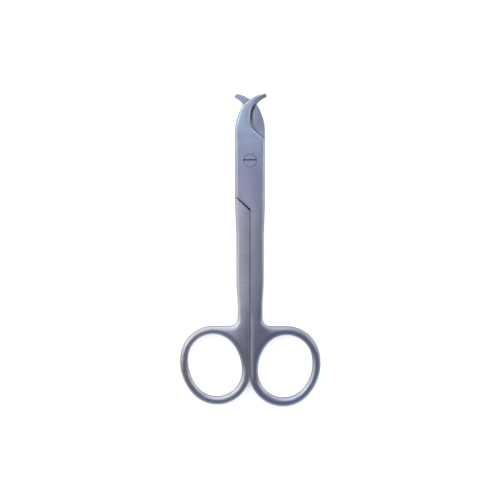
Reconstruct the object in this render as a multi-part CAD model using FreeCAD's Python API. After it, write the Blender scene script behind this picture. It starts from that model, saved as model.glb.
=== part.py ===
import FreeCAD, Part
import math
import os
from collections import namedtuple

# Small ring-handled scissors with two outward-hooked crescent blades, lying flat and closed.
# Origin: on the pivot axis, in the plane that the lower face rests on.
# +Z up from that plane, +Y along the scissors towards the tips, +X towards the front half's ring.
# All sizes are in millimetres and all angles in degrees.
# The front half is drawn; the back half is the same forging turned over about the long axis.

# Stock
JOINT_HALF_WIDTH = 5.0
JOINT_THICKNESS = 4.4
RING_THICKNESS = 3.4
TIP_THICKNESS = 2.3
LAP_CLEARANCE = 0.05
SEAM_GAP = 0.12

# Reach from the pivot axis: tips upwards, ring centres downwards
TIP_REACH = 22.68
FRONT_RING_REACH = 68.95
BACK_RING_REACH = 68.57

# Blade outline, as corners of a rounded polygon; drops are measured back from the tip
FRONT_TIP_SIDE = 5.55
FRONT_TIP_CORNER_RADIUS = 0.45
BACK_TIP_SIDE = 5.25
BACK_TIP_CORNER_RADIUS = 1.2
HOOK_BEND_X = 2.2
HOOK_BEND_DROP = 0.82
HOOK_BEND_RADIUS = 7.0
CROWN_BEND_X = -2.62
CROWN_BEND_DROP = 3.75
CROWN_BEND_RADIUS = 7.1
SPINE_BEND_DROP = 10.2
SPINE_BEND_RADIUS = 14.0
MOUTH_BLANK_RADIUS = 20.0
BLADE_TAPER_START = 5.5
BLADE_BEND_RADIUS = 40.0

# Crescent cutting edge on the inner face, and its bevel on the outer face, back from the tip
EDGE_BELLY_X = 0.84
EDGE_HOOK_SLOPE = 22.0
EDGE_HOOK_BEND_X = 4.6
EDGE_HOOK_BEND_DROP = 1.85
EDGE_HOOK_BEND_RADIUS = 4.0
EDGE_UPPER_DROP = 4.1
EDGE_UPPER_RADIUS = 7.2
EDGE_LOWER_DROP = 11.68
EDGE_LOWER_RADIUS = 6.0
EDGE_HEEL_SLOPE = 43.0
BEVEL_BELLY_X = -0.13
BEVEL_HOOK_SLOPE = 19.6
BEVEL_HOOK_BEND_X = 3.2
BEVEL_HOOK_BEND_DROP = 1.55
BEVEL_HOOK_BEND_RADIUS = 4.0
BEVEL_UPPER_DROP = 4.15
BEVEL_UPPER_RADIUS = 7.0
BEVEL_LOWER_DROP = 11.57
BEVEL_LOWER_RADIUS = 4.5
BEVEL_HEEL_SLOPE = 38.9
BEVEL_OVERRUN = 0.2
BROW_WIDTH = 0.32
BROW_DEPTH = 0.22

# Shoulder where the lap plate ends and the other half's shank begins
SHOULDER_EDGE_REACH = 12.0
SHOULDER_SEAM_REACH = 16.4
SHOULDER_CORNER_RADIUS = 0.8
SHOULDER_GAP_AT_EDGE = 0.2
SHOULDER_GAP_AT_SEAM = 0.55

# Shank, from the joint down to the ring
JOINT_END_REACH = 15.5
JOINT_TAPER_LENGTH = 9.5
SHANK_HALF_WIDTH = 4.6
NECK_HALF_WIDTH = 4.18
NECK_LENGTH = 8.0
NECK_TAPER_LENGTH = 6.0
SHANK_BEND_RADIUS = 60.0
THICKNESS_TAPER_START = 22.0
THICKNESS_TAPER_LENGTH = 30.0
THICKNESS_BEND_RADIUS = 80.0

# Finger ring: a leaning oval hole in a leaning oval rim, the two rings finished a little unlike
RING_HOLE_HALF_LENGTH = 10.54
RING_OUTER_WALL = 2.72
OVAL_END_ROUNDNESS = 0.95
FRONT_HOLE_HALF_WIDTH = 9.0
FRONT_RING_LEAN = 74.5
FRONT_SEAM_WALL = 2.58
FRONT_SEAM_BULGE = 3.05
FRONT_END_WALL = 3.0
BACK_HOLE_HALF_WIDTH = 8.77
BACK_RING_LEAN = 72.2
BACK_SEAM_WALL = 2.7
BACK_SEAM_BULGE = 2.95
BACK_END_WALL = 2.77
RING_NECK_RADIUS = 2.6
RING_NECK_SINK = 0.04
RING_HEEL_RADIUS = 9.0

# Rounded edges
BODY_ROUND = 1.05
SEAM_ROUND = 0.3
TIP_ROUND = 0.42

# Pivot screw, threaded into the back half with its head flush in the front half
HEAD_RADIUS = 2.18
HEAD_DEPTH = 0.9
JOURNAL_RADIUS = 1.6
THREAD_RADIUS = 1.3
HEAD_SIDE_CLEARANCE = 0.06
HEAD_SEAT_CLEARANCE = 0.03
JOURNAL_CLEARANCE = 0.04
HEAD_RIM_CHAMFER = 0.08
TAIL_CHAMFER = 0.12
SLOT_WIDTH = 0.58
SLOT_DEPTH = 0.45
SLOT_OFFSET = 0.2

# Worked out from the driving sizes
MID = JOINT_THICKNESS / 2
INNER = LAP_CLEARANCE / 2
SEAM_X = SEAM_GAP / 2
BEYOND = 20.0
FAR = 60.0
CUT_MARGIN = 1.0
CLOSE = 0.001
ROOM_SHARE = 0.98
SMOOTH_ANGLE = math.radians(0.5)

V = FreeCAD.Vector

Half = namedtuple("Half", "tip_side tip_corner ring_reach hole_half_width lean seam_wall seam_bulge end_wall")
FRONT = Half(
    tip_side=FRONT_TIP_SIDE,
    tip_corner=FRONT_TIP_CORNER_RADIUS,
    ring_reach=FRONT_RING_REACH,
    hole_half_width=FRONT_HOLE_HALF_WIDTH,
    lean=FRONT_RING_LEAN,
    seam_wall=FRONT_SEAM_WALL,
    seam_bulge=FRONT_SEAM_BULGE,
    end_wall=FRONT_END_WALL,
)
BACK = Half(
    tip_side=BACK_TIP_SIDE,
    tip_corner=BACK_TIP_CORNER_RADIUS,
    ring_reach=BACK_RING_REACH,
    hole_half_width=BACK_HOLE_HALF_WIDTH,
    lean=BACK_RING_LEAN,
    seam_wall=BACK_SEAM_WALL,
    seam_bulge=BACK_SEAM_BULGE,
    end_wall=BACK_END_WALL,
)


def heading(angle):
    """Unit direction in the plan at an angle counted from +X towards +Y."""
    return V(math.cos(math.radians(angle)), math.sin(math.radians(angle)), 0)


def rounded_wire(corners):
    """Closed plan wire through (x, y, radius) corners, each rounded by a tangent arc if there is room."""
    count = len(corners)
    points = [V(x, y, 0) for x, y, radius in corners]
    half_angles = []
    wanted = []
    for i, (x, y, radius) in enumerate(corners):
        to_last = points[i - 1] - points[i]
        to_next = points[(i + 1) % count] - points[i]
        half_angles.append(to_last.getAngle(to_next) / 2)
        wanted.append(radius / math.tan(half_angles[i]))
    arcs = []
    for i, here in enumerate(points):
        setback = wanted[i]
        for j in (i - 1, (i + 1) % count):
            length = (points[j] - here).Length
            crowding = (wanted[i] + wanted[j]) / (ROOM_SHARE * length)
            if crowding > 1:
                setback = min(setback, wanted[i] / crowding)
        to_last = (points[i - 1] - here).normalize()
        to_next = (points[(i + 1) % count] - here).normalize()
        inward = (to_last + to_next).normalize()
        sagitta = setback / math.cos(half_angles[i]) - setback * math.tan(half_angles[i])
        arcs.append((here + to_last * setback, here + inward * sagitta, here + to_next * setback))
    outline = []
    for i, (start, middle, end) in enumerate(arcs):
        if (end - start).Length > 0:
            outline.append(Part.Arc(start, middle, end).toShape())
        outline.append(Part.makeLine(end, arcs[(i + 1) % count][0]))
    return Part.Wire(outline)


def oval_radii(half_length, half_width):
    """End and side radius of a four-arc oval, and the angle off its length at which the arcs meet."""
    end_radius = OVAL_END_ROUNDNESS * half_width
    side_radius = ((half_length ** 2 + half_width ** 2 - 2 * half_length * end_radius)
                   / (2 * (half_width - end_radius)))
    meeting = math.degrees(math.atan2(side_radius - half_width, half_length - end_radius))
    return end_radius, side_radius, meeting


def oval_wire(centre, half_length, half_width, lean):
    """Closed leaning oval of four arcs that run smoothly into each other."""
    end_radius, side_radius, meeting = oval_radii(half_length, half_width)
    along = heading(lean)
    across = heading(lean - 90)
    end_centre = half_length - end_radius
    meet_along = along * (end_centre + end_radius * math.cos(math.radians(meeting)))
    meet_across = across * (end_radius * math.sin(math.radians(meeting)))
    meets = [meet_along - meet_across, meet_along + meet_across,
             meet_across - meet_along, -meet_along - meet_across]
    tops = [along * half_length, across * half_width, -along * half_length, -across * half_width]
    arcs = []
    for i, top in enumerate(tops):
        arcs.append(Part.Arc(centre + meets[i], centre + top, centre + meets[(i + 1) % 4]).toShape())
    return Part.Wire(arcs)


def prism(wire, bottom, top):
    """Solid over a plan wire between two heights."""
    face = Part.Face(wire)
    face.translate(V(0, 0, bottom))
    return face.extrude(V(0, 0, top - bottom))


def oval_half_extent(half_length, half_width, turn):
    """How far an oval reaches from its centre along a direction turned away from its length."""
    end_radius, side_radius, meeting = oval_radii(half_length, half_width)
    if turn < meeting:
        return end_radius + (half_length - end_radius) * math.cos(math.radians(turn))
    return side_radius - (side_radius - half_width) * math.sin(math.radians(turn))


def hole_centre_x(own):
    """Ring centre's distance from the pivot line, so that the wall beside the seam keeps its width."""
    extent = oval_half_extent(RING_HOLE_HALF_LENGTH, own.hole_half_width, own.lean)
    return SEAM_X + own.seam_wall + extent


def ring_outer_halves(own):
    """Half length and half width of the ring's outer oval."""
    half_width = own.hole_half_width + (RING_OUTER_WALL + own.seam_bulge) / 2
    return RING_HOLE_HALF_LENGTH + own.end_wall, half_width


def ring_top_y(own):
    """Where the neck's lower line runs into the ring, just under the outer oval's highest point."""
    half_length, half_width = ring_outer_halves(own)
    extent = oval_half_extent(half_length, half_width, 90 - own.lean)
    return extent - own.ring_reach - RING_NECK_SINK


def body_wire(own):
    """Plan outline of blade, lap plate and shank, before the crescent is cut out of the blade."""
    ring_top = ring_top_y(own)
    neck_top = ring_top + NECK_LENGTH
    return rounded_wire([
        (SEAM_X, -own.ring_reach, 0),
        (hole_centre_x(own), -own.ring_reach, 0),
        (hole_centre_x(own), ring_top, 0),
        (NECK_HALF_WIDTH, ring_top, RING_NECK_RADIUS),
        (NECK_HALF_WIDTH, neck_top, SHANK_BEND_RADIUS),
        (SHANK_HALF_WIDTH, neck_top + NECK_TAPER_LENGTH, SHANK_BEND_RADIUS),
        (SHANK_HALF_WIDTH, -JOINT_END_REACH - JOINT_TAPER_LENGTH, SHANK_BEND_RADIUS),
        (JOINT_HALF_WIDTH, -JOINT_END_REACH, SHANK_BEND_RADIUS),
        (JOINT_HALF_WIDTH, TIP_REACH - EDGE_LOWER_DROP, MOUTH_BLANK_RADIUS),
        (own.tip_side, TIP_REACH - EDGE_UPPER_DROP, MOUTH_BLANK_RADIUS),
        (own.tip_side, TIP_REACH, own.tip_corner),
        (HOOK_BEND_X, TIP_REACH - HOOK_BEND_DROP, HOOK_BEND_RADIUS),
        (CROWN_BEND_X, TIP_REACH - CROWN_BEND_DROP, CROWN_BEND_RADIUS),
        (-JOINT_HALF_WIDTH, TIP_REACH - SPINE_BEND_DROP, SPINE_BEND_RADIUS),
        (-JOINT_HALF_WIDTH, -SHOULDER_EDGE_REACH, 0),
        (SEAM_X, -SHOULDER_SEAM_REACH, SHOULDER_CORNER_RADIUS),
    ])


def blade_slope():
    """How much each outer face of the blade falls towards the mid-plane per length."""
    return (JOINT_THICKNESS - TIP_THICKNESS) / 2 / (TIP_REACH - BLADE_TAPER_START)


def thickness_solid():
    """Side profile: thick flat joint, thinner shanks and rings, blades thinning to the tips."""
    ring_half = RING_THICKNESS / 2
    end = TIP_REACH + BEYOND
    taper_end = THICKNESS_TAPER_START + THICKNESS_TAPER_LENGTH
    upper = [
        (end, MID - blade_slope() * (end - BLADE_TAPER_START), 0),
        (BLADE_TAPER_START, MID, BLADE_BEND_RADIUS),
        (-THICKNESS_TAPER_START, MID, THICKNESS_BEND_RADIUS),
        (-taper_end, ring_half, THICKNESS_BEND_RADIUS),
        (-FAR * 2, ring_half, 0),
    ]
    lower = [(y, -half, radius) for y, half, radius in reversed(upper)]
    side = rounded_wire(upper + lower)
    side.rotate(V(0, 0, 0), V(1, 1, 1), 120)
    side.translate(V(-FAR, 0, MID))
    return Part.Face(side).extrude(V(FAR * 2, 0, 0))


def upright_edges(solid, x_range, y_range):
    """Edges parallel to the pivot axis whose middle lies within a plan window."""
    found = []
    for edge in solid.Edges:
        start, end = edge.Vertexes[0].Point, edge.Vertexes[-1].Point
        middle = edge.CenterOfMass
        upright = abs(start.x - end.x) + abs(start.y - end.y) < CLOSE
        inside = x_range[0] < middle.x < x_range[1] and y_range[0] < middle.y < y_range[1]
        if upright and inside:
            found.append(edge)
    return found


def blank(own):
    """Forged blank of the front half: outline and side profile, with square edges."""
    centre_x = hole_centre_x(own)
    half_length, half_width = ring_outer_halves(own)
    shift = (own.seam_bulge - RING_OUTER_WALL) / 2
    body = prism(body_wire(own), -CUT_MARGIN, JOINT_THICKNESS + CUT_MARGIN)
    outer = oval_wire(V(centre_x - shift, -own.ring_reach, 0), half_length, half_width, own.lean)
    ring = prism(outer, -CUT_MARGIN, JOINT_THICKNESS + CUT_MARGIN)
    ring = ring.common(Part.makeBox(FAR, FAR, FAR, V(SEAM_X, -own.ring_reach - FAR / 2, -FAR / 2)))
    solid = body.fuse(ring).removeSplitter()
    ring_bottom = -own.ring_reach - half_length
    heel = upright_edges(solid, (SEAM_X - CLOSE, SEAM_X + CLOSE), (ring_bottom, -own.ring_reach))
    solid = solid.makeFillet(RING_HEEL_RADIUS, heel)
    hole = oval_wire(V(centre_x, -own.ring_reach, 0), RING_HOLE_HALF_LENGTH, own.hole_half_width,
                     own.lean)
    solid = solid.cut(prism(hole, -2 * CUT_MARGIN, JOINT_THICKNESS + 2 * CUT_MARGIN))
    return solid.common(thickness_solid()).Solids[0]


def smooth_runs(edges):
    """Tangent runs of edges, each run going the way of its first edge in the list.

    A step of a run holds an edge with the point and heading at its start and at its end.
    """
    waiting = []
    for edge in edges:
        sense = -1 if edge.Orientation == "Reversed" else 1
        limits = [edge.FirstParameter, edge.LastParameter][::sense]
        start, end = [(edge.valueAt(limit), edge.tangentAt(limit) * sense) for limit in limits]
        waiting.append((edge, start, end))
    runs = []
    while waiting:
        run = [waiting.pop(0)]
        grown = True
        while grown:
            grown = False
            for step in list(waiting):
                edge, (start, start_way), (end, end_way) = step
                for way in (step, (edge, (end, -end_way), (start, -start_way))):
                    if flows(run[-1][2], way[1]):
                        run.append(way)
                    elif flows(way[2], run[0][1]):
                        run.insert(0, way)
                    else:
                        continue
                    waiting.remove(step)
                    grown = True
                    break
        runs.append(run)
    return runs


def flows(leaving, entering):
    """True where one edge's end meets another's start without a corner."""
    return (leaving[0] - entering[0]).Length < CLOSE and leaving[1].getAngle(entering[1]) < SMOOTH_ANGLE


def edge_round(own, point, middle):
    """Rounding at a point of an outline edge: crisp by the seam, growing round the heel, fine at the tip."""
    below_ring_centre = (-own.ring_reach - point.y) / ring_outer_halves(own)[0]
    if min(point.x, middle.x) < SEAM_X + own.seam_wall / 2 and middle.y < -SHOULDER_EDGE_REACH:
        return SEAM_ROUND + max(0, below_ring_centre) * (BODY_ROUND - SEAM_ROUND)
    along_blade = min(max(0, (point.y - BLADE_TAPER_START) / (TIP_REACH - BLADE_TAPER_START)), 1)
    eased = along_blade ** 2 * (3 - 2 * along_blade)
    return BODY_ROUND + eased * (TIP_ROUND - BODY_ROUND)


def is_wall(face):
    """True for a face that stands parallel to the pivot axis."""
    u_first, u_last, v_first, v_last = face.ParameterRange
    return abs(face.normalAt((u_first + u_last) / 2, (v_first + v_last) / 2).z) < CLOSE


def round_outline(solid, own):
    """Round every edge between the outline's walls and the two outer faces."""
    outline = []
    numbers = {}
    for number, edge in enumerate(solid.Edges, 1):
        walls = [face for face in solid.ancestorsOfType(edge, Part.Face) if is_wall(face)]
        if len(walls) == 1:
            outline.append(edge)
            numbers[edge.hashCode()] = number
    rounds = []
    for run in smooth_runs(outline):
        for edge, (start, start_way), (end, end_way) in run:
            first = edge_round(own, start, edge.CenterOfMass)
            last = edge_round(own, end, edge.CenterOfMass)
            rounds.append((numbers[edge.hashCode()], first, last))
    document = FreeCAD.newDocument()
    base = document.addObject("Part::Feature", "Blank")
    base.Shape = solid
    fillet = document.addObject("Part::Fillet", "Rounded")
    fillet.Base = base
    fillet.Edges = sorted(rounds)
    document.recompute()
    return fillet.Shape.copy()


def lap_cutter():
    """What is taken off below the lap plane: all that lies above the other half's shoulder."""
    seam_y = -SHOULDER_SEAM_REACH - SHOULDER_GAP_AT_SEAM
    edge_y = -SHOULDER_EDGE_REACH - SHOULDER_GAP_AT_EDGE
    rise = (edge_y - seam_y) / (JOINT_HALF_WIDTH - SEAM_X)
    corners = [
        (-BEYOND, seam_y - rise * (BEYOND + SEAM_X), 0),
        (BEYOND, edge_y + rise * (BEYOND - JOINT_HALF_WIDTH), 0),
        (BEYOND, FAR, 0),
        (-BEYOND, FAR, 0),
    ]
    return prism(rounded_wire(corners), -BEYOND, MID + INNER)


def crescent_corners(level):
    """Crescent at a level of its bevel: 0 is the cutting edge on the lap plane, 1 the outer face."""
    edge = [
        (BEYOND, TIP_REACH - EDGE_HOOK_BEND_DROP
         + (BEYOND - EDGE_HOOK_BEND_X) * math.tan(math.radians(EDGE_HOOK_SLOPE)), 0),
        (EDGE_HOOK_BEND_X, TIP_REACH - EDGE_HOOK_BEND_DROP, EDGE_HOOK_BEND_RADIUS),
        (EDGE_BELLY_X, TIP_REACH - EDGE_UPPER_DROP, EDGE_UPPER_RADIUS),
        (EDGE_BELLY_X, TIP_REACH - EDGE_LOWER_DROP, EDGE_LOWER_RADIUS),
        (BEYOND, TIP_REACH - EDGE_LOWER_DROP
         - (BEYOND - EDGE_BELLY_X) * math.tan(math.radians(EDGE_HEEL_SLOPE)), 0),
    ]
    bevel = [
        (BEYOND, TIP_REACH - BEVEL_HOOK_BEND_DROP
         + (BEYOND - BEVEL_HOOK_BEND_X) * math.tan(math.radians(BEVEL_HOOK_SLOPE)), 0),
        (BEVEL_HOOK_BEND_X, TIP_REACH - BEVEL_HOOK_BEND_DROP, BEVEL_HOOK_BEND_RADIUS),
        (BEVEL_BELLY_X, TIP_REACH - BEVEL_UPPER_DROP, BEVEL_UPPER_RADIUS),
        (BEVEL_BELLY_X, TIP_REACH - BEVEL_LOWER_DROP, BEVEL_LOWER_RADIUS),
        (BEYOND, TIP_REACH - BEVEL_LOWER_DROP
         - (BEYOND - BEVEL_BELLY_X) * math.tan(math.radians(BEVEL_HEEL_SLOPE)), 0),
    ]
    return [tuple(e + level * (b - e) for e, b in zip(low, high)) for low, high in zip(edge, bevel)]


def crescent_wire(level, widening):
    """Closed wire of the crescent at a level, widened all round and laid parallel to the blade's taper."""
    wire = rounded_wire(crescent_corners(level))
    if widening != 0:
        wire = wire.makeOffset2D(widening)
    tilt = math.degrees(math.atan(level * blade_slope()))
    wire.rotate(V(0, BLADE_TAPER_START, 0), V(1, 0, 0), -tilt)
    wire.translate(V(0, 0, MID + level * MID))
    return wire


def crescent_cutter():
    """Ruled tool that leaves the bevelled crescent, drawn a little past both faces of the blade."""
    sections = [crescent_wire(level, 0) for level in (-BEVEL_OVERRUN, 1 + BEVEL_OVERRUN)]
    return Part.makeLoft(sections, True, True)


def brow_cutter():
    """Ruled tool that breaks the edge between the bevel and the blade's outer face, drawn past both."""
    depth = BROW_DEPTH / MID
    sections = [crescent_wire(1 + step * depth, (1 + step) * BROW_WIDTH) for step in (-2, 1)]
    return Part.makeLoft(sections, True, True)


def forging(own):
    """One forged half as the front one: plate above, shank and ring at +X, crescent facing +X."""
    solid = round_outline(blank(own), own)
    return solid.cut(lap_cutter()).cut(crescent_cutter()).cut(brow_cutter())


def rod(radius, bottom, top):
    """Round solid on the pivot axis."""
    return Part.makeCylinder(radius, top - bottom, V(0, 0, bottom))


def front_half():
    """Upper half, bored for the journal and sunk for the screw head."""
    solid = forging(FRONT)
    head_seat = JOINT_THICKNESS - HEAD_DEPTH - HEAD_SEAT_CLEARANCE
    solid = solid.cut(rod(JOURNAL_RADIUS + JOURNAL_CLEARANCE, 0, FAR))
    return solid.cut(rod(HEAD_RADIUS + HEAD_SIDE_CLEARANCE, head_seat, FAR))


def back_half():
    """Lower half: the same forging turned over about the long axis, bored for the thread."""
    solid = forging(BACK)
    solid.rotate(V(0, 0, MID), V(0, 1, 0), 180)
    return solid.cut(rod(THREAD_RADIUS, -CUT_MARGIN, FAR))


def pivot_screw():
    """Slotted screw: flush head, running journal and threaded end ground flush with the lower face."""
    neck = JOINT_THICKNESS - HEAD_DEPTH
    seat = MID - INNER
    head = rod(HEAD_RADIUS, neck, JOINT_THICKNESS)
    rim = [e for e in head.Edges if abs(e.CenterOfMass.z - JOINT_THICKNESS) < CLOSE]
    head = head.makeChamfer(HEAD_RIM_CHAMFER, rim)
    thread = rod(THREAD_RADIUS, 0, seat)
    tail = [e for e in thread.Edges if abs(e.CenterOfMass.z) < CLOSE]
    thread = thread.makeChamfer(TAIL_CHAMFER, tail)
    solid = head.fuse([rod(JOURNAL_RADIUS, seat, neck), thread])
    corner = V(-HEAD_RADIUS - CUT_MARGIN, SLOT_OFFSET - SLOT_WIDTH / 2, JOINT_THICKNESS - SLOT_DEPTH)
    slot = Part.makeBox(2 * (HEAD_RADIUS + CUT_MARGIN), SLOT_WIDTH, 2 * SLOT_DEPTH, corner)
    return solid.cut(slot).removeSplitter()


def export(name, shape):
    """Write one piece as a single solid."""
    solid = shape.Solids[0]
    solid.exportStep("parts/" + name + ".step")
    print(name, len(shape.Solids), "solid", solid.isValid(), round(solid.Volume, 1), "mm3")


os.makedirs("parts", exist_ok=True)
export("front_half", front_half())
export("back_half", back_half())
export("pivot_screw", pivot_screw())
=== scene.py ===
import bpy
import bmesh
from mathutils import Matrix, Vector


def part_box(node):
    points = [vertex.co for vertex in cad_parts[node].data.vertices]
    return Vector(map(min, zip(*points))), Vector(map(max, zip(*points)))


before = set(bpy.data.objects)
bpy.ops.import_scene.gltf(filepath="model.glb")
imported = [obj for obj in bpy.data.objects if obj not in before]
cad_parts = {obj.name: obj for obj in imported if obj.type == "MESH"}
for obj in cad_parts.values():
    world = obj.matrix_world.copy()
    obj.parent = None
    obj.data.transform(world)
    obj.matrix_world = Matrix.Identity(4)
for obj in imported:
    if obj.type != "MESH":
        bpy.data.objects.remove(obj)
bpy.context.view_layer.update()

bl_info = {
    "name": "Hooked ring scissors",
    "version": (1, 0, 0),
    "blender": (4, 5, 0),
    "location": "View3D > Sidebar > Scissors",
    "description": "Dresses surgical ring scissors in satin stainless steel and sets their stage",
    "category": "Object",
}

MM = 0.001
SCREW_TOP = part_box("pivot_screw")[1].z

# Sizes of the ground faces
SHANK_HALF = 2.3 * MM            # half the width of one shank
CROWN_REACH = 3.5 * MM           # past this distance from its middle a face's crown levels out
BELLY_REACH = 7.0 * MM           # from a crescent's centre to the middle of its blade
RING_ROUNDING = 2.4 * MM         # how far the rings' edges are rubbed round
FRONT_CRESCENT = Vector((4.5, 14.5, 4.0)) * MM
BACK_CRESCENT = Vector((-4.5, 14.5, 0.4)) * MM

# Places along Y, in metres from the screw towards the tips, where a change starts and ends
BROW = (17.5 * MM, 19.5 * MM)
BEVEL = (9.5 * MM, 11.5 * MM)
BEVEL_DARKENS = (12.0 * MM, 14.3 * MM)
BLADE_CROWN = (9 * MM, 15 * MM)
CROWN_GROWS = (4 * MM, -19 * MM)       # nearly level at the screw, full where the shanks start
CROWN_PARTS = (-10 * MM, -19 * MM)     # from the joint's middle to the middle of each shank
CROWN_ENDS = (-62 * MM, -52 * MM)
RING_POLISH = (-64 * MM, -40 * MM)
RING_ROUND = (-50 * MM, -58 * MM)
PLATE_CROWN = 0.1                      # crown at the screw, as a share of the shanks' crown

# Cosines from which a face counts as a bevel, as a rolled brow or heel, or as level
BEVEL_FACING = (0.62, 0.72)
BROW_FACING = (0.35, 0.50)
LEVEL = (0.90, 0.995)

# Grinding marks and stains, as factors of the colour over the middle part of a noise
NOISE_SPAN = (0.3, 0.7)
NOISE_DETAIL = 3.0               # finer layers in each noise
LINE_TONE = (0.95, 1.04)
LINE_CRISPNESS = 0.6             # weight of each finer layer against the one before
CLOUD_TONE = (0.95, 1.05)
CLOUD_CRISPNESS = 0.5
CLOUD_SIZE = 6 * MM
LINE_DEPTH = 0.02 * MM
LINE_STRENGTH = 0.25

# Painted shade where little of the sky round a point is open
CREVICE_SHADE_REACH = 0.6 * MM
CREVICE_SHADE_SKY = (0.50, 0.82)          # open share of the near sky under full painted shade and under none

# Rays that look for near surfaces at one point
CREVICE_SHADE_SAMPLES = 6
ROUNDING_SAMPLES = 8
SHADOW_SAMPLES = 8

# Colours along each piece, from the rings at negative to the tips at positive distances in mm
# Besides the steel's grey-blue, the front and back tones hold painted light and shade: brighter
# blades, darker ring webs and a back half brighter than the front half
FRONT_TONES_AND_SHADE = (
    (-66, "#BABBC3"), (-57, "#ABACB8"), (-48, "#B2B2BD"), (-20, "#B2B1BC"), (-12, "#B9B9CA"),
    (-5, "#B4B4CA"), (4, "#B9BFD0"), (8, "#ADB7CA"), (12, "#B2C1D3"), (17, "#C6D3E1"),
    (20, "#C2CCDA"), (22.6, "#B5BAC0"))
BACK_TONES_AND_SHADE = (
    (-66, "#C4C2C5"), (-57, "#C8C5CB"), (-48, "#E2DFE4"), (-38, "#D6D3D8"), (-17, "#C6C2CA"),
    (2, "#B4B8CA"), (14, "#B4B8CA"), (20, "#BCC4D4"))
SCREW_TONES = ((-3, "#B8BDCD"), (3, "#B8BDCD"))

# Lamps with their place, target and size in metres, and their colour
LAMPS = (
    ("key", (-0.42, 0.14, 0.34), (0, 0, 0), (0.50, 0.50), "#FFFAF2"),
    ("fill", (0.15, 0.015, 0.11), (0, 0, 0), (0.09, 0.16), "#FFF0E4"),
    ("overhead", (-0.13, 0.05, 0.40), (-0.13, 0.05, 0), (0.30, 0.18), "#F0F2FF"),
    ("blade", (-0.04, 0.34, 0.42), (0, 0, 0), (0.40, 0.26), "#C2D8FF"),
)

# Colours of the room from the rings' side, at 0, over the ceiling to the blades' side, at 1
ROOM = (
    (0.0, "#6A7190"), (0.20, "#7580A4"), (0.34, "#7884A8"), (0.44, "#6E7286"), (0.50, "#626470"),
    (0.58, "#7C8089"), (0.68, "#B8C4CC"), (0.86, "#E4ECEC"), (1.0, "#F4F4EC"))
ROOM_AXIS = (-0.15, 0.99, 0)
WALL_TOP = (0.5, 0.12)           # heights of a view direction where the walls start and are full
WALL_SHARE = 0.85                # part of the walls' colour where they are full

# White board under the scissors
FLOOR_GAP = 0.02 * MM            # keeps it clear of the lap plate's underside
BOARD_COLOUR = "#F4F2EC"
BOARD_GLOW = 0.74                # lifts the lit board to white
SHADOW_REACH = 4 * MM
SHADOW_SKY = (0.05, 0.45)        # open share of the near sky in the deepest shadow and in none
MIRROR_SHARE = 0.15              # part of the glow that the steel's reflections see

VIEW_CENTRE_Y = -30 * MM
CAMERA_REACH = 20                # metres, past the floor's far corner

# A Mix node's inputs all bear the names A and B and its outputs the name Result
NUMBER_A, NUMBER_B, VECTOR_A, VECTOR_B, COLOUR_A, COLOUR_B = 2, 3, 4, 5, 6, 7
NUMBER, VECTOR, COLOUR = 0, 1, 2


def linear(code):
    """Linear colour of an sRGB hex code."""
    channels = [int(code[i:i + 2], 16) / 255 for i in (1, 3, 5)]
    return tuple(c / 12.92 if c <= 0.04045 else ((c + 0.055) / 1.055) ** 2.4 for c in channels)


def add_node(tree, kind, inputs=None, stops=(), **settings):
    """Add a node with its settings, its inputs as values or links, and its colour stops."""
    node = tree.nodes.new(kind)
    for name, value in settings.items():
        setattr(node, name, value)
    for socket, value in (inputs or {}).items():
        if isinstance(value, bpy.types.NodeSocket):
            tree.links.new(value, node.inputs[socket])
        else:
            node.inputs[socket].default_value = value
    for place, code in stops[1:-1]:
        node.color_ramp.elements.new(place)
    for index, (place, code) in enumerate(stops):
        node.color_ramp.elements[index].position = place
        node.color_ramp.elements[index].color = (*linear(code), 1)
    return node


def new_tree(name):
    """Material of that name with an empty node tree."""
    material = bpy.data.materials.new(name)
    material.use_nodes = True
    material.node_tree.nodes.clear()
    return material, material.node_tree


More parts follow.
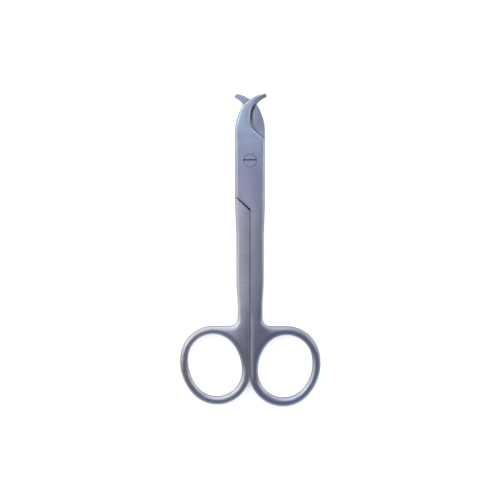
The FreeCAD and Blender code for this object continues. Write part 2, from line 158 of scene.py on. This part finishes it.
class ScissorsSteel(bpy.types.PropertyGroup):
    """Finish of the two forged halves and of the screw."""

    # Painted shade and reflection: the bevels are darkened towards the hook, with a pale painted
    # reflection at their lower ends
    bevel_shade_colour: bpy.props.FloatVectorProperty(
        name="Bevel", description="Colour of the ground bevels behind the cutting edges",
        subtype="COLOR", size=3, min=0, max=1, default=linear("#78736F"))
    bevel_foot_reflection_colour: bpy.props.FloatVectorProperty(
        name="Bevel foot", description="Colour of the bevels' lower ends, polished brighter",
        subtype="COLOR", size=3, min=0, max=1, default=linear("#E0D4D0"))
    # Painted shade: a darker grey laid on each hook's rolled brow
    brow_shade_colour: bpy.props.FloatVectorProperty(
        name="Brow", description="Colour of the ground brow on the hooked tips",
        subtype="COLOR", size=3, min=0, max=1, default=linear("#97989C"))
    # Painted shade: the dark colour laid where little near sky is open, in the slot and the seams
    crevice_shade_colour: bpy.props.FloatVectorProperty(
        name="Crevices", description="Colour of the dark film in the slot and the seams",
        subtype="COLOR", size=3, min=0, max=1, default=linear("#3A3836"))
    face_roughness: bpy.props.FloatProperty(
        name="Face roughness", description="Roughness of the belt-ground joint and shanks",
        min=0, max=1, default=0.40)
    ring_roughness: bpy.props.FloatProperty(
        name="Ring roughness", description="Roughness of the rings, which are polished smoother",
        min=0, max=1, default=0.22)
    edge_roughness: bpy.props.FloatProperty(
        name="Edge roughness", description="Roughness of the rounded edges, polished by hands",
        min=0, max=1, default=0.28)
    # Painted highlight: the colour of every face that isn't level is raised by this factor
    edge_highlight_gain: bpy.props.FloatProperty(
        name="Edge gain", description="How much brighter the handled edges are than the faces",
        min=1, max=1.5, default=1.14)
    # Painted highlight: the rolled heels' colour is raised by this factor
    heel_highlight_gain: bpy.props.FloatProperty(
        name="Heel gain", description="How much brighter the rolled heels are than the faces",
        min=1, max=2, default=1.36)
    crown: bpy.props.FloatProperty(
        name="Crown", description="How far belt grinding leaves a shank's edges below its middle",
        unit="LENGTH", min=0, default=0.14 * MM)
    line_spacing: bpy.props.FloatProperty(
        name="Grinding lines", description="Distance between the grinding lines that show",
        unit="LENGTH", min=0.1 * MM, default=0.6 * MM)
    line_length: bpy.props.FloatProperty(
        name="Line length", description="Length of one grinding line across the face",
        unit="LENGTH", min=0.5 * MM, default=9 * MM)


class ScissorsStage(bpy.types.PropertyGroup):
    """Floor, lights and camera."""

    view_width: bpy.props.FloatProperty(
        name="View width", description="Width of the floor that the camera sees",
        unit="LENGTH", min=0.01, default=167.75 * MM)
    camera_height: bpy.props.FloatProperty(
        name="Camera height", description="Height of the camera over the scissors",
        unit="LENGTH", min=0.1, default=1.0)
    floor_size: bpy.props.FloatProperty(
        name="Floor size", description="Side of the square floor",
        unit="LENGTH", min=0.5, default=6.0)
    key_power: bpy.props.FloatProperty(
        name="Key light", description="Power of the large soft light at the upper left",
        unit="POWER", min=0, default=0.62)
    fill_power: bpy.props.FloatProperty(
        name="Fill light", description="Power of the small soft light at the right of the shanks",
        unit="POWER", min=0, default=0.038)
    overhead_power: bpy.props.FloatProperty(
        name="Overhead light", description="Power of the soft light above the joint",
        unit="POWER", min=0, default=0.145)
    blade_power: bpy.props.FloatProperty(
        name="Blade light", description="Power of the cool soft light beyond the blades",
        unit="POWER", min=0, default=0.30)
    wall_colour: bpy.props.FloatVectorProperty(
        name="Walls", description="Colour of the room's pale walls, low all round",
        subtype="COLOR", size=3, min=0, max=1, default=linear("#C6C9CE"))
    room_light: bpy.props.FloatProperty(
        name="Room light", description="Strength of the light from all round",
        min=0, default=1.0)


# Martensitic stainless steel, drop-forged, belt-ground across its width and left satin. It gives
# the eye a soft grey-blue sheen that rolls off each crowned face, faint lines across it, a pale
# rim of painted highlight on the edges, which hands polish smoother, and painted shade in the slot
# and the seams.
def ground_steel(name, tones, shank_middle, crescent, settings):
    """Satin-ground stainless steel, with the X of its shank and the centre of its crescent."""
    material, tree = new_tree(name)
    coords = add_node(tree, "ShaderNodeTexCoord")
    place = coords.outputs["Object"]
    position = add_node(tree, "ShaderNodeSeparateXYZ", {"Vector": place})
    normal = add_node(tree, "ShaderNodeSeparateXYZ", {"Vector": coords.outputs["Normal"]})

    # Real grinding lines lie about 0.05 mm apart, too fine to show, so they are drawn 0.6 mm apart
    lines = add_node(tree, "ShaderNodeMapping", {
        "Vector": place,
        "Scale": (1 / settings.line_length, 1 / settings.line_spacing, 1 / settings.line_length)})
    grain = add_node(tree, "ShaderNodeTexNoise", {
        "Vector": lines.outputs["Vector"], "Scale": 1.0, "Detail": NOISE_DETAIL,
        "Roughness": LINE_CRISPNESS})
    clouds = add_node(tree, "ShaderNodeTexNoise", {
        "Vector": place, "Scale": 1 / CLOUD_SIZE, "Detail": NOISE_DETAIL,
        "Roughness": CLOUD_CRISPNESS})
    line_tone = add_node(tree, "ShaderNodeMapRange", {
        "Value": grain.outputs["Fac"], "From Min": NOISE_SPAN[0], "From Max": NOISE_SPAN[1],
        "To Min": LINE_TONE[0], "To Max": LINE_TONE[1]})
    cloud_tone = add_node(tree, "ShaderNodeMapRange", {
        "Value": clouds.outputs["Fac"], "From Min": NOISE_SPAN[0], "From Max": NOISE_SPAN[1],
        "To Min": CLOUD_TONE[0], "To Max": CLOUD_TONE[1]})

    # Faces that aren't level are edges, which hands polish smoother; a painted highlight makes
    # them brighter
    upright = add_node(tree, "ShaderNodeMath", {0: normal.outputs["Z"]}, operation="ABSOLUTE")
    level = add_node(tree, "ShaderNodeMapRange", {
        "Value": upright.outputs["Value"], "From Min": LEVEL[0], "From Max": LEVEL[1]},
        interpolation_type="SMOOTHSTEP")
    edge_highlight = add_node(tree, "ShaderNodeMapRange", {
        "Value": level.outputs["Result"], "To Min": settings.edge_highlight_gain, "To Max": 1.0})
    mottle = add_node(tree, "ShaderNodeMath", {
        0: line_tone.outputs["Result"], 1: cloud_tone.outputs["Result"]}, operation="MULTIPLY")
    shade = add_node(tree, "ShaderNodeMath", {
        0: mottle.outputs["Value"], 1: edge_highlight.outputs["Result"]}, operation="MULTIPLY")

    # Colour along the piece, with the painted light and shade of its tones
    first, last = tones[0][0], tones[-1][0]
    along = add_node(tree, "ShaderNodeMapRange", {
        "Value": position.outputs["Y"], "From Min": first * MM, "From Max": last * MM})
    stops = [((distance - first) / (last - first), code) for distance, code in tones]
    tone = add_node(tree, "ShaderNodeValToRGB", {"Fac": along.outputs["Result"]}, stops=stops)

    # Faces that look at the crescent's centre: the cut bevel, and the edge rolled round it, which
    # is the heel below the belly, brighter with a painted highlight, and the brow on the hook,
    # darker with painted shade
    way = add_node(tree, "ShaderNodeVectorMath", {0: crescent, 1: place}, operation="SUBTRACT")
    reach = add_node(tree, "ShaderNodeVectorMath", {0: way.outputs["Vector"]}, operation="LENGTH")
    towards = add_node(tree, "ShaderNodeVectorMath", {
        0: way.outputs["Vector"]}, operation="NORMALIZE")
    facing = add_node(tree, "ShaderNodeVectorMath", {
        0: towards.outputs["Vector"], 1: coords.outputs["Normal"]}, operation="DOT_PRODUCT")
    cut = add_node(tree, "ShaderNodeMapRange", {
        "Value": facing.outputs["Value"],
        "From Min": BEVEL_FACING[0], "From Max": BEVEL_FACING[1]},
        interpolation_type="SMOOTHSTEP")
    belly = add_node(tree, "ShaderNodeMapRange", {
        "Value": position.outputs["Y"], "From Min": BEVEL[0], "From Max": BEVEL[1]})
    rolled = add_node(tree, "ShaderNodeMapRange", {
        "Value": facing.outputs["Value"], "From Min": BROW_FACING[0], "From Max": BROW_FACING[1]},
        interpolation_type="SMOOTHSTEP")
    uncut_roll = add_node(tree, "ShaderNodeMath", {
        0: rolled.outputs["Result"], 1: cut.outputs["Result"]}, operation="SUBTRACT")
    heel = add_node(tree, "ShaderNodeMapRange", {
        "Value": belly.outputs["Result"], "To Min": settings.heel_highlight_gain - 1, "To Max": 0.0})
    heel_highlight_tone = add_node(tree, "ShaderNodeMath", {
        0: uncut_roll.outputs["Value"], 1: heel.outputs["Result"], 2: 1.0},
        operation="MULTIPLY_ADD")
    brightness = add_node(tree, "ShaderNodeMath", {
        0: shade.outputs["Value"], 1: heel_highlight_tone.outputs["Value"]}, operation="MULTIPLY")
    toned = add_node(tree, "ShaderNodeVectorMath", {
        0: tone.outputs["Color"], "Scale": brightness.outputs["Value"]}, operation="SCALE")
    # The bevel's colour is painted shade that deepens towards the hook, with a painted reflection
    # at its lower end
    bevel = add_node(tree, "ShaderNodeMath", {
        0: cut.outputs["Result"], 1: belly.outputs["Result"]}, operation="MULTIPLY")
    darkening = add_node(tree, "ShaderNodeMapRange", {
        "Value": position.outputs["Y"],
        "From Min": BEVEL_DARKENS[0], "From Max": BEVEL_DARKENS[1]})
    bevel_shade_and_reflection = add_node(tree, "ShaderNodeMix", {
        0: darkening.outputs["Result"], COLOUR_A: (*settings.bevel_foot_reflection_colour, 1),
        COLOUR_B: (*settings.bevel_shade_colour, 1)}, data_type="RGBA")
    bevelled = add_node(tree, "ShaderNodeMix", {
        0: bevel.outputs["Value"], COLOUR_A: toned.outputs["Vector"],
        COLOUR_B: bevel_shade_and_reflection.outputs[COLOUR]}, data_type="RGBA")
    # Painted shade on the rolled brow of the hook
    hook = add_node(tree, "ShaderNodeMapRange", {
        "Value": position.outputs["Y"], "From Min": BROW[0], "From Max": BROW[1]})
    brow = add_node(tree, "ShaderNodeMath", {
        0: rolled.outputs["Result"], 1: hook.outputs["Result"]}, operation="MULTIPLY")
    browed = add_node(tree, "ShaderNodeMix", {
        0: brow.outputs["Value"], COLOUR_A: bevelled.outputs[COLOUR],
        COLOUR_B: (*settings.brow_shade_colour, 1)}, data_type="RGBA")

    # Painted shade in the slot, round the screw's rim and in the seams
    sky = add_node(tree, "ShaderNodeAmbientOcclusion", {
        "Distance": CREVICE_SHADE_REACH}, samples=CREVICE_SHADE_SAMPLES)
    unshaded = add_node(tree, "ShaderNodeMapRange", {
        "Value": sky.outputs["AO"], "From Min": CREVICE_SHADE_SKY[0], "From Max": CREVICE_SHADE_SKY[1]})
    colour = add_node(tree, "ShaderNodeMix", {
        0: unshaded.outputs["Result"], COLOUR_A: (*settings.crevice_shade_colour, 1),
        COLOUR_B: browed.outputs[COLOUR]}, data_type="RGBA")

    # Belt-ground faces, smoother rings and edges
    face = add_node(tree, "ShaderNodeMapRange", {
        "Value": position.outputs["Y"], "From Min": RING_POLISH[0], "From Max": RING_POLISH[1],
        "To Min": settings.ring_roughness, "To Max": settings.face_roughness})
    worn = add_node(tree, "ShaderNodeMix", {
        0: level.outputs["Result"], NUMBER_A: settings.edge_roughness,
        NUMBER_B: face.outputs["Result"]})
    roughness = add_node(tree, "ShaderNodeMath", {
        0: worn.outputs[NUMBER], 1: line_tone.outputs["Result"]}, operation="DIVIDE")

    # Rings rubbed rounder than their forged edges
    geometry = add_node(tree, "ShaderNodeNewGeometry")
    rubbed = add_node(tree, "ShaderNodeBevel", {
        "Radius": RING_ROUNDING}, samples=ROUNDING_SAMPLES)
    ring = add_node(tree, "ShaderNodeMapRange", {
        "Value": position.outputs["Y"], "From Min": RING_ROUND[0], "From Max": RING_ROUND[1]})
    rounded = add_node(tree, "ShaderNodeMix", {
        0: ring.outputs["Result"], VECTOR_A: geometry.outputs["Normal"],
        VECTOR_B: rubbed.outputs["Normal"]}, data_type="VECTOR")

    # Crown of the shanks and the joint: a drop that grows with the distance from their middle
    curve = settings.crown / SHANK_HALF ** 2
    depth = curve * CROWN_REACH ** 2
    middle = add_node(tree, "ShaderNodeMapRange", {
        "Value": position.outputs["Y"], "From Min": CROWN_PARTS[0], "From Max": CROWN_PARTS[1],
        "To Min": 0.0, "To Max": shank_middle})
    off_middle = add_node(tree, "ShaderNodeMath", {
        0: position.outputs["X"], 1: middle.outputs["Result"]}, operation="SUBTRACT")
    across = add_node(tree, "ShaderNodeMath", {
        0: off_middle.outputs["Value"], 1: 1 / CROWN_REACH}, operation="MULTIPLY")
    squared = add_node(tree, "ShaderNodeMath", {
        0: across.outputs["Value"], 1: across.outputs["Value"]}, operation="MULTIPLY")
    levelling = add_node(tree, "ShaderNodeMath", {0: squared.outputs["Value"]}, operation="TANH")
    growing = add_node(tree, "ShaderNodeMapRange", {
        "Value": position.outputs["Y"], "From Min": CROWN_GROWS[0], "From Max": CROWN_GROWS[1],
        "To Min": -PLATE_CROWN * depth, "To Max": -depth})
    before_ring = add_node(tree, "ShaderNodeMapRange", {
        "Value": position.outputs["Y"], "From Min": CROWN_ENDS[0], "From Max": CROWN_ENDS[1]})
    drop = add_node(tree, "ShaderNodeMath", {
        0: levelling.outputs["Value"], 1: growing.outputs["Result"]}, operation="MULTIPLY")
    shank_crown = add_node(tree, "ShaderNodeMath", {
        0: drop.outputs["Value"], 1: before_ring.outputs["Result"]}, operation="MULTIPLY")

    # Crown of the blade, across its band round the crescent
    off_belly = add_node(tree, "ShaderNodeMath", {
        0: reach.outputs["Value"], 1: BELLY_REACH}, operation="SUBTRACT")
    dome = add_node(tree, "ShaderNodeMath", {
        0: off_belly.outputs["Value"], 1: off_belly.outputs["Value"]}, operation="MULTIPLY")
    rising = add_node(tree, "ShaderNodeMapRange", {
        "Value": position.outputs["Y"], "From Min": BLADE_CROWN[0], "From Max": BLADE_CROWN[1],
        "To Min": 0.0, "To Max": -curve})
    height = add_node(tree, "ShaderNodeMath", {
        0: dome.outputs["Value"], 1: rising.outputs["Result"], 2: shank_crown.outputs["Value"]},
        operation="MULTIPLY_ADD")
    crowned = add_node(tree, "ShaderNodeBump", {
        "Strength": 1.0, "Distance": 1.0, "Height": height.outputs["Value"],
        "Normal": rounded.outputs[VECTOR]})
    scored = add_node(tree, "ShaderNodeBump", {
        "Strength": LINE_STRENGTH, "Distance": LINE_DEPTH, "Height": grain.outputs["Fac"],
        "Normal": crowned.outputs["Normal"]})

    shader = add_node(tree, "ShaderNodeBsdfPrincipled", {
        "Base Color": colour.outputs[COLOUR], "Metallic": 1.0,
        "Roughness": roughness.outputs["Value"], "Normal": scored.outputs["Normal"]})
    add_node(tree, "ShaderNodeOutputMaterial", {"Surface": shader.outputs["BSDF"]})
    return material


def dress(node_name, material):
    """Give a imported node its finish."""
    for material_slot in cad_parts[node_name].material_slots:
        material_slot.link = "OBJECT"
        material_slot.material = material


class SCISSORS_OT_front_half(bpy.types.Operator):
    """Dress the upper half, whose blade hooks to the right."""

    bl_idname = "scissors.front_half"
    bl_label = "Front half"

    def execute(self, context):
        dress("front_half", ground_steel(
            "satin_ground_stainless_steel_front", FRONT_TONES_AND_SHADE, SHANK_HALF, FRONT_CRESCENT,
            context.scene.scissors_steel))
        return {"FINISHED"}


class SCISSORS_OT_back_half(bpy.types.Operator):
    """Dress the lower half, whose blade hooks to the left."""

    bl_idname = "scissors.back_half"
    bl_label = "Back half"

    def execute(self, context):
        dress("back_half", ground_steel(
            "satin_ground_stainless_steel_back", BACK_TONES_AND_SHADE, -SHANK_HALF, BACK_CRESCENT,
            context.scene.scissors_steel))
        return {"FINISHED"}


class SCISSORS_OT_pivot_screw(bpy.types.Operator):
    """Dress the slotted screw, whose turned head was ground flush with the lap plate."""

    bl_idname = "scissors.pivot_screw"
    bl_label = "Pivot screw"

    def execute(self, context):
        # The plate's grinding lines run on across the head, so it gives the eye the plate's sheen
        dress("pivot_screw", ground_steel(
            "satin_turned_stainless_steel", SCREW_TONES, 0.0, FRONT_CRESCENT,
            context.scene.scissors_steel))
        return {"FINISHED"}


def soft_lamp(name, place, target, size, power, colour):
    """Soft rectangular lamp that faces a point."""
    lamp = bpy.data.lights.new(name, "AREA")
    lamp.shape = "RECTANGLE"
    lamp.size, lamp.size_y = size
    lamp.energy = power
    lamp.color = colour
    holder = bpy.data.objects.new(name, lamp)
    holder.location = place
    holder.rotation_euler = (Vector(target) - Vector(place)).to_track_quat("-Z", "Y").to_euler()
    holder.visible_camera = False
    bpy.context.scene.collection.objects.link(holder)


# Matt-painted board. It gives the eye an even white field, grey only in the scissors' shadow.
def white_board():
    """Matt white board that glows a little where the camera sees it and no shadow lies."""
    material, tree = new_tree("matt_painted_white_board")
    path = add_node(tree, "ShaderNodeLightPath")
    reflected = add_node(tree, "ShaderNodeMath", {
        0: path.outputs["Is Glossy Ray"], 1: path.outputs["Is Transmission Ray"]}, operation="ADD")
    seen = add_node(tree, "ShaderNodeMath", {
        0: reflected.outputs["Value"], 1: MIRROR_SHARE, 2: path.outputs["Is Camera Ray"]},
        operation="MULTIPLY_ADD")
    # Near the scissors the glow fades with the open sky, which paints a soft contact shadow on the
    # board besides the lamps' own
    sky = add_node(tree, "ShaderNodeAmbientOcclusion", {
        "Distance": SHADOW_REACH}, samples=SHADOW_SAMPLES)
    glow = add_node(tree, "ShaderNodeMapRange", {
        "Value": sky.outputs["AO"], "From Min": SHADOW_SKY[0], "From Max": SHADOW_SKY[1],
        "To Min": 0.0, "To Max": BOARD_GLOW})
    lift = add_node(tree, "ShaderNodeMath", {
        0: seen.outputs["Value"], 1: glow.outputs["Result"]}, operation="MULTIPLY")
    paint = add_node(tree, "ShaderNodeBsdfDiffuse", {"Color": (*linear(BOARD_COLOUR), 1)})
    light = add_node(tree, "ShaderNodeEmission", {
        "Color": (1, 1, 1, 1), "Strength": lift.outputs["Value"]})
    both = add_node(tree, "ShaderNodeAddShader", {
        0: paint.outputs["BSDF"], 1: light.outputs["Emission"]})
    add_node(tree, "ShaderNodeOutputMaterial", {"Surface": both.outputs["Shader"]})
    return material


def studio_world(settings):
    """Room with pale walls and a toned ceiling, which the camera sees as plain white."""
    world = bpy.data.worlds.new("studio")
    world.use_nodes = True
    tree = world.node_tree
    tree.nodes.clear()
    path = add_node(tree, "ShaderNodeLightPath")
    direction = add_node(tree, "ShaderNodeTexCoord")
    side = add_node(tree, "ShaderNodeVectorMath", {
        0: direction.outputs["Generated"], 1: ROOM_AXIS}, operation="DOT_PRODUCT")
    along = add_node(tree, "ShaderNodeMapRange", {
        "Value": side.outputs["Value"], "From Min": -1.0})
    ceiling = add_node(tree, "ShaderNodeValToRGB", {"Fac": along.outputs["Result"]}, stops=ROOM)
    height = add_node(tree, "ShaderNodeSeparateXYZ", {"Vector": direction.outputs["Generated"]})
    wall = add_node(tree, "ShaderNodeMapRange", {
        "Value": height.outputs["Z"], "From Min": WALL_TOP[0], "From Max": WALL_TOP[1],
        "To Max": WALL_SHARE}, interpolation_type="SMOOTHSTEP")
    colour = add_node(tree, "ShaderNodeMix", {
        0: wall.outputs["Result"], COLOUR_A: ceiling.outputs["Color"],
        COLOUR_B: (*settings.wall_colour, 1)}, data_type="RGBA")
    room = add_node(tree, "ShaderNodeBackground", {
        "Color": colour.outputs[COLOUR], "Strength": settings.room_light})
    white = add_node(tree, "ShaderNodeBackground", {"Color": (1, 1, 1, 1), "Strength": 1.0})
    chosen = add_node(tree, "ShaderNodeMixShader", {
        0: path.outputs["Is Camera Ray"], 1: room.outputs["Background"],
        2: white.outputs["Background"]})
    add_node(tree, "ShaderNodeOutputWorld", {"Surface": chosen.outputs["Shader"]})
    return world


class SCISSORS_OT_stage(bpy.types.Operator):
    """Set the white floor, the soft lights and the camera straight above."""

    bl_idname = "scissors.stage"
    bl_label = "Stage"

    def execute(self, context):
        settings = context.scene.scissors_stage
        scene = context.scene
        mesh = bpy.data.meshes.new("floor")
        shape = bmesh.new()
        bmesh.ops.create_grid(shape, x_segments=1, y_segments=1, size=settings.floor_size / 2)
        shape.to_mesh(mesh)
        shape.free()
        mesh.materials.append(white_board())
        floor = bpy.data.objects.new("floor", mesh)
        floor.location.z = -FLOOR_GAP
        scene.collection.objects.link(floor)

        scene.world = studio_world(settings)
        for name, place, target, size, code in LAMPS:
            power = getattr(settings, f"{name}_power")
            soft_lamp(f"{name}_softbox", place, target, size, power, linear(code))

        camera = bpy.data.cameras.new("camera")
        camera.lens = camera.sensor_width * settings.camera_height / settings.view_width
        camera.clip_end = CAMERA_REACH
        holder = bpy.data.objects.new("camera", camera)
        holder.location = (0, VIEW_CENTRE_Y, settings.camera_height + SCREW_TOP / 2)
        scene.collection.objects.link(holder)
        scene.camera = holder
        scene.view_settings.view_transform = "Standard"
        return {"FINISHED"}


class SCISSORS_PT_panel(bpy.types.Panel):
    """Buttons that build each part of the scene, with their settings."""

    bl_idname = "SCISSORS_PT_panel"
    bl_label = "Hooked ring scissors"
    bl_space_type = "VIEW_3D"
    bl_region_type = "UI"
    bl_category = "Scissors"

    def draw(self, context):
        layout = self.layout
        for group in (context.scene.scissors_steel, context.scene.scissors_stage):
            column = layout.column()
            for name in group.bl_rna.properties.keys():
                if name not in ("rna_type", "name"):
                    column.prop(group, name)
        for operator in OPERATORS:
            layout.operator(operator.bl_idname)


OPERATORS = (
    SCISSORS_OT_front_half,
    SCISSORS_OT_back_half,
    SCISSORS_OT_pivot_screw,
    SCISSORS_OT_stage,
)
CLASSES = (ScissorsSteel, ScissorsStage, *OPERATORS, SCISSORS_PT_panel)


def register():
    for item in CLASSES:
        bpy.utils.register_class(item)
    bpy.types.Scene.scissors_steel = bpy.props.PointerProperty(type=ScissorsSteel)
    bpy.types.Scene.scissors_stage = bpy.props.PointerProperty(type=ScissorsStage)


def unregister():
    del bpy.types.Scene.scissors_stage
    del bpy.types.Scene.scissors_steel
    for item in reversed(CLASSES):
        bpy.utils.unregister_class(item)


def main():
    register()
    bpy.ops.scissors.front_half()
    bpy.ops.scissors.back_half()
    bpy.ops.scissors.pivot_screw()
    bpy.ops.scissors.stage()


if __name__ == "__main__":
    main()
